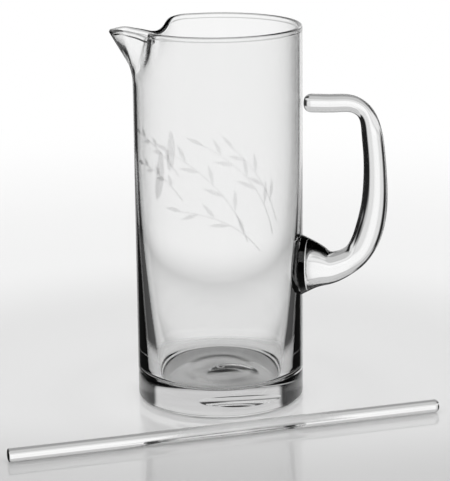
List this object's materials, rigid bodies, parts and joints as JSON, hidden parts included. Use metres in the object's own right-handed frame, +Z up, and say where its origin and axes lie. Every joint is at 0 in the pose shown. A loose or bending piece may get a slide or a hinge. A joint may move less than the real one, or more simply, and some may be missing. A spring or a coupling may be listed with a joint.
{
  "type": "cocktail pitcher",
  "caption": "Straight-sided clear glass mixing pitcher with a pulled spout, an applied loop handle and a glass stirring rod beside it.",
  "frame": {"origin": "centre of the pitcher's foot, on the surface that it stands on", "axes": "+Z up along the pitcher's axis, -X towards the spout, +X towards the handle"},
  "size_m": [0.2373, 0.1934, 0.2305],
  "materials": {
    "blown_glass": "clear, fire-polished",
    "handle_glass": "clear, fire-polished",
    "rod_glass": "clear, fire-polished"
  },
  "bodies": {
    "pitcher": {"pitcher_body": "blown_glass", "handle": "handle_glass"},
    "rod": {"stirring_rod": "rod_glass"}
  },
  "joints": [
    {"name": "rod_lift", "type": "slide", "parent": "pitcher", "child": "rod", "axis": [0, 0, 1], "range_m": [0, 0.3]}
  ]
}
